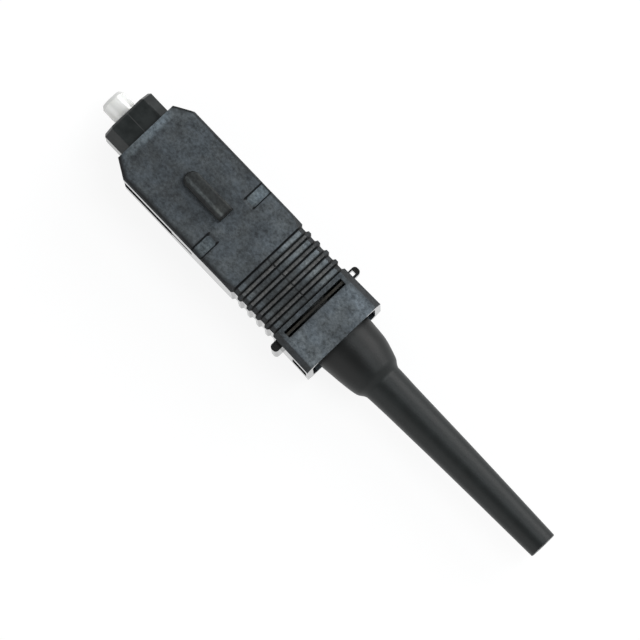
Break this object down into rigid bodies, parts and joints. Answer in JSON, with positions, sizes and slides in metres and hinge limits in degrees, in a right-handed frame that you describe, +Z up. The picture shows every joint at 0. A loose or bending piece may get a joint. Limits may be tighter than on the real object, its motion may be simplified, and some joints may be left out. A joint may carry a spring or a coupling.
{
  "type": "sc fibre connector",
  "caption": "Push-pull SC fibre plug: sprung ceramic ferrule in a square inner frame, a ribbed sliding grip and a smooth tapered strain relief boot.",
  "frame": {"origin": "centre of the inner frame's front face, on the ferrule's axis", "axes": "+X along the ferrule, out of the mating end; +Z up through the key on the wide top face; +Y across the wide face"},
  "size_m": [0.057, 0.0108, 0.0081],
  "materials": {
    "grip_plastic": "dark slate, fine matte texture",
    "frame_plastic": "black, satin",
    "zirconia": "polished white",
    "flange_plastic": "moulded",
    "spring_steel": "drawn wire",
    "guide_tube": "translucent white tubing",
    "nickelled_brass": "nickel plated",
    "crimp_metal": "annealed, plated",
    "boot_rubber": "smooth black"
  },
  "bodies": {
    "inner_body": {"plug_frame": "frame_plastic", "spring_stop": "nickelled_brass", "crimp_sleeve": "crimp_metal", "boot": "boot_rubber", "ferrule_spring": "spring_steel"},
    "grip": {"outer_housing": "grip_plastic"},
    "ferrule_carrier": {"ferrule": "zirconia", "ferrule_flange": "flange_plastic", "buffer_tube": "guide_tube"}
  },
  "joints": [
    {"name": "grip_slide", "type": "slide", "parent": "inner_body", "child": "grip", "axis": [-1, 0, 0], "range_m": [-0.001, 0.001]},
    {"name": "ferrule_float", "type": "slide", "parent": "inner_body", "child": "ferrule_carrier", "axis": [-1, 0, 0], "range_m": [0, 0.001], "stiffness_N_per_m": 2700, "deforming": ["ferrule_spring"]}
  ]
}
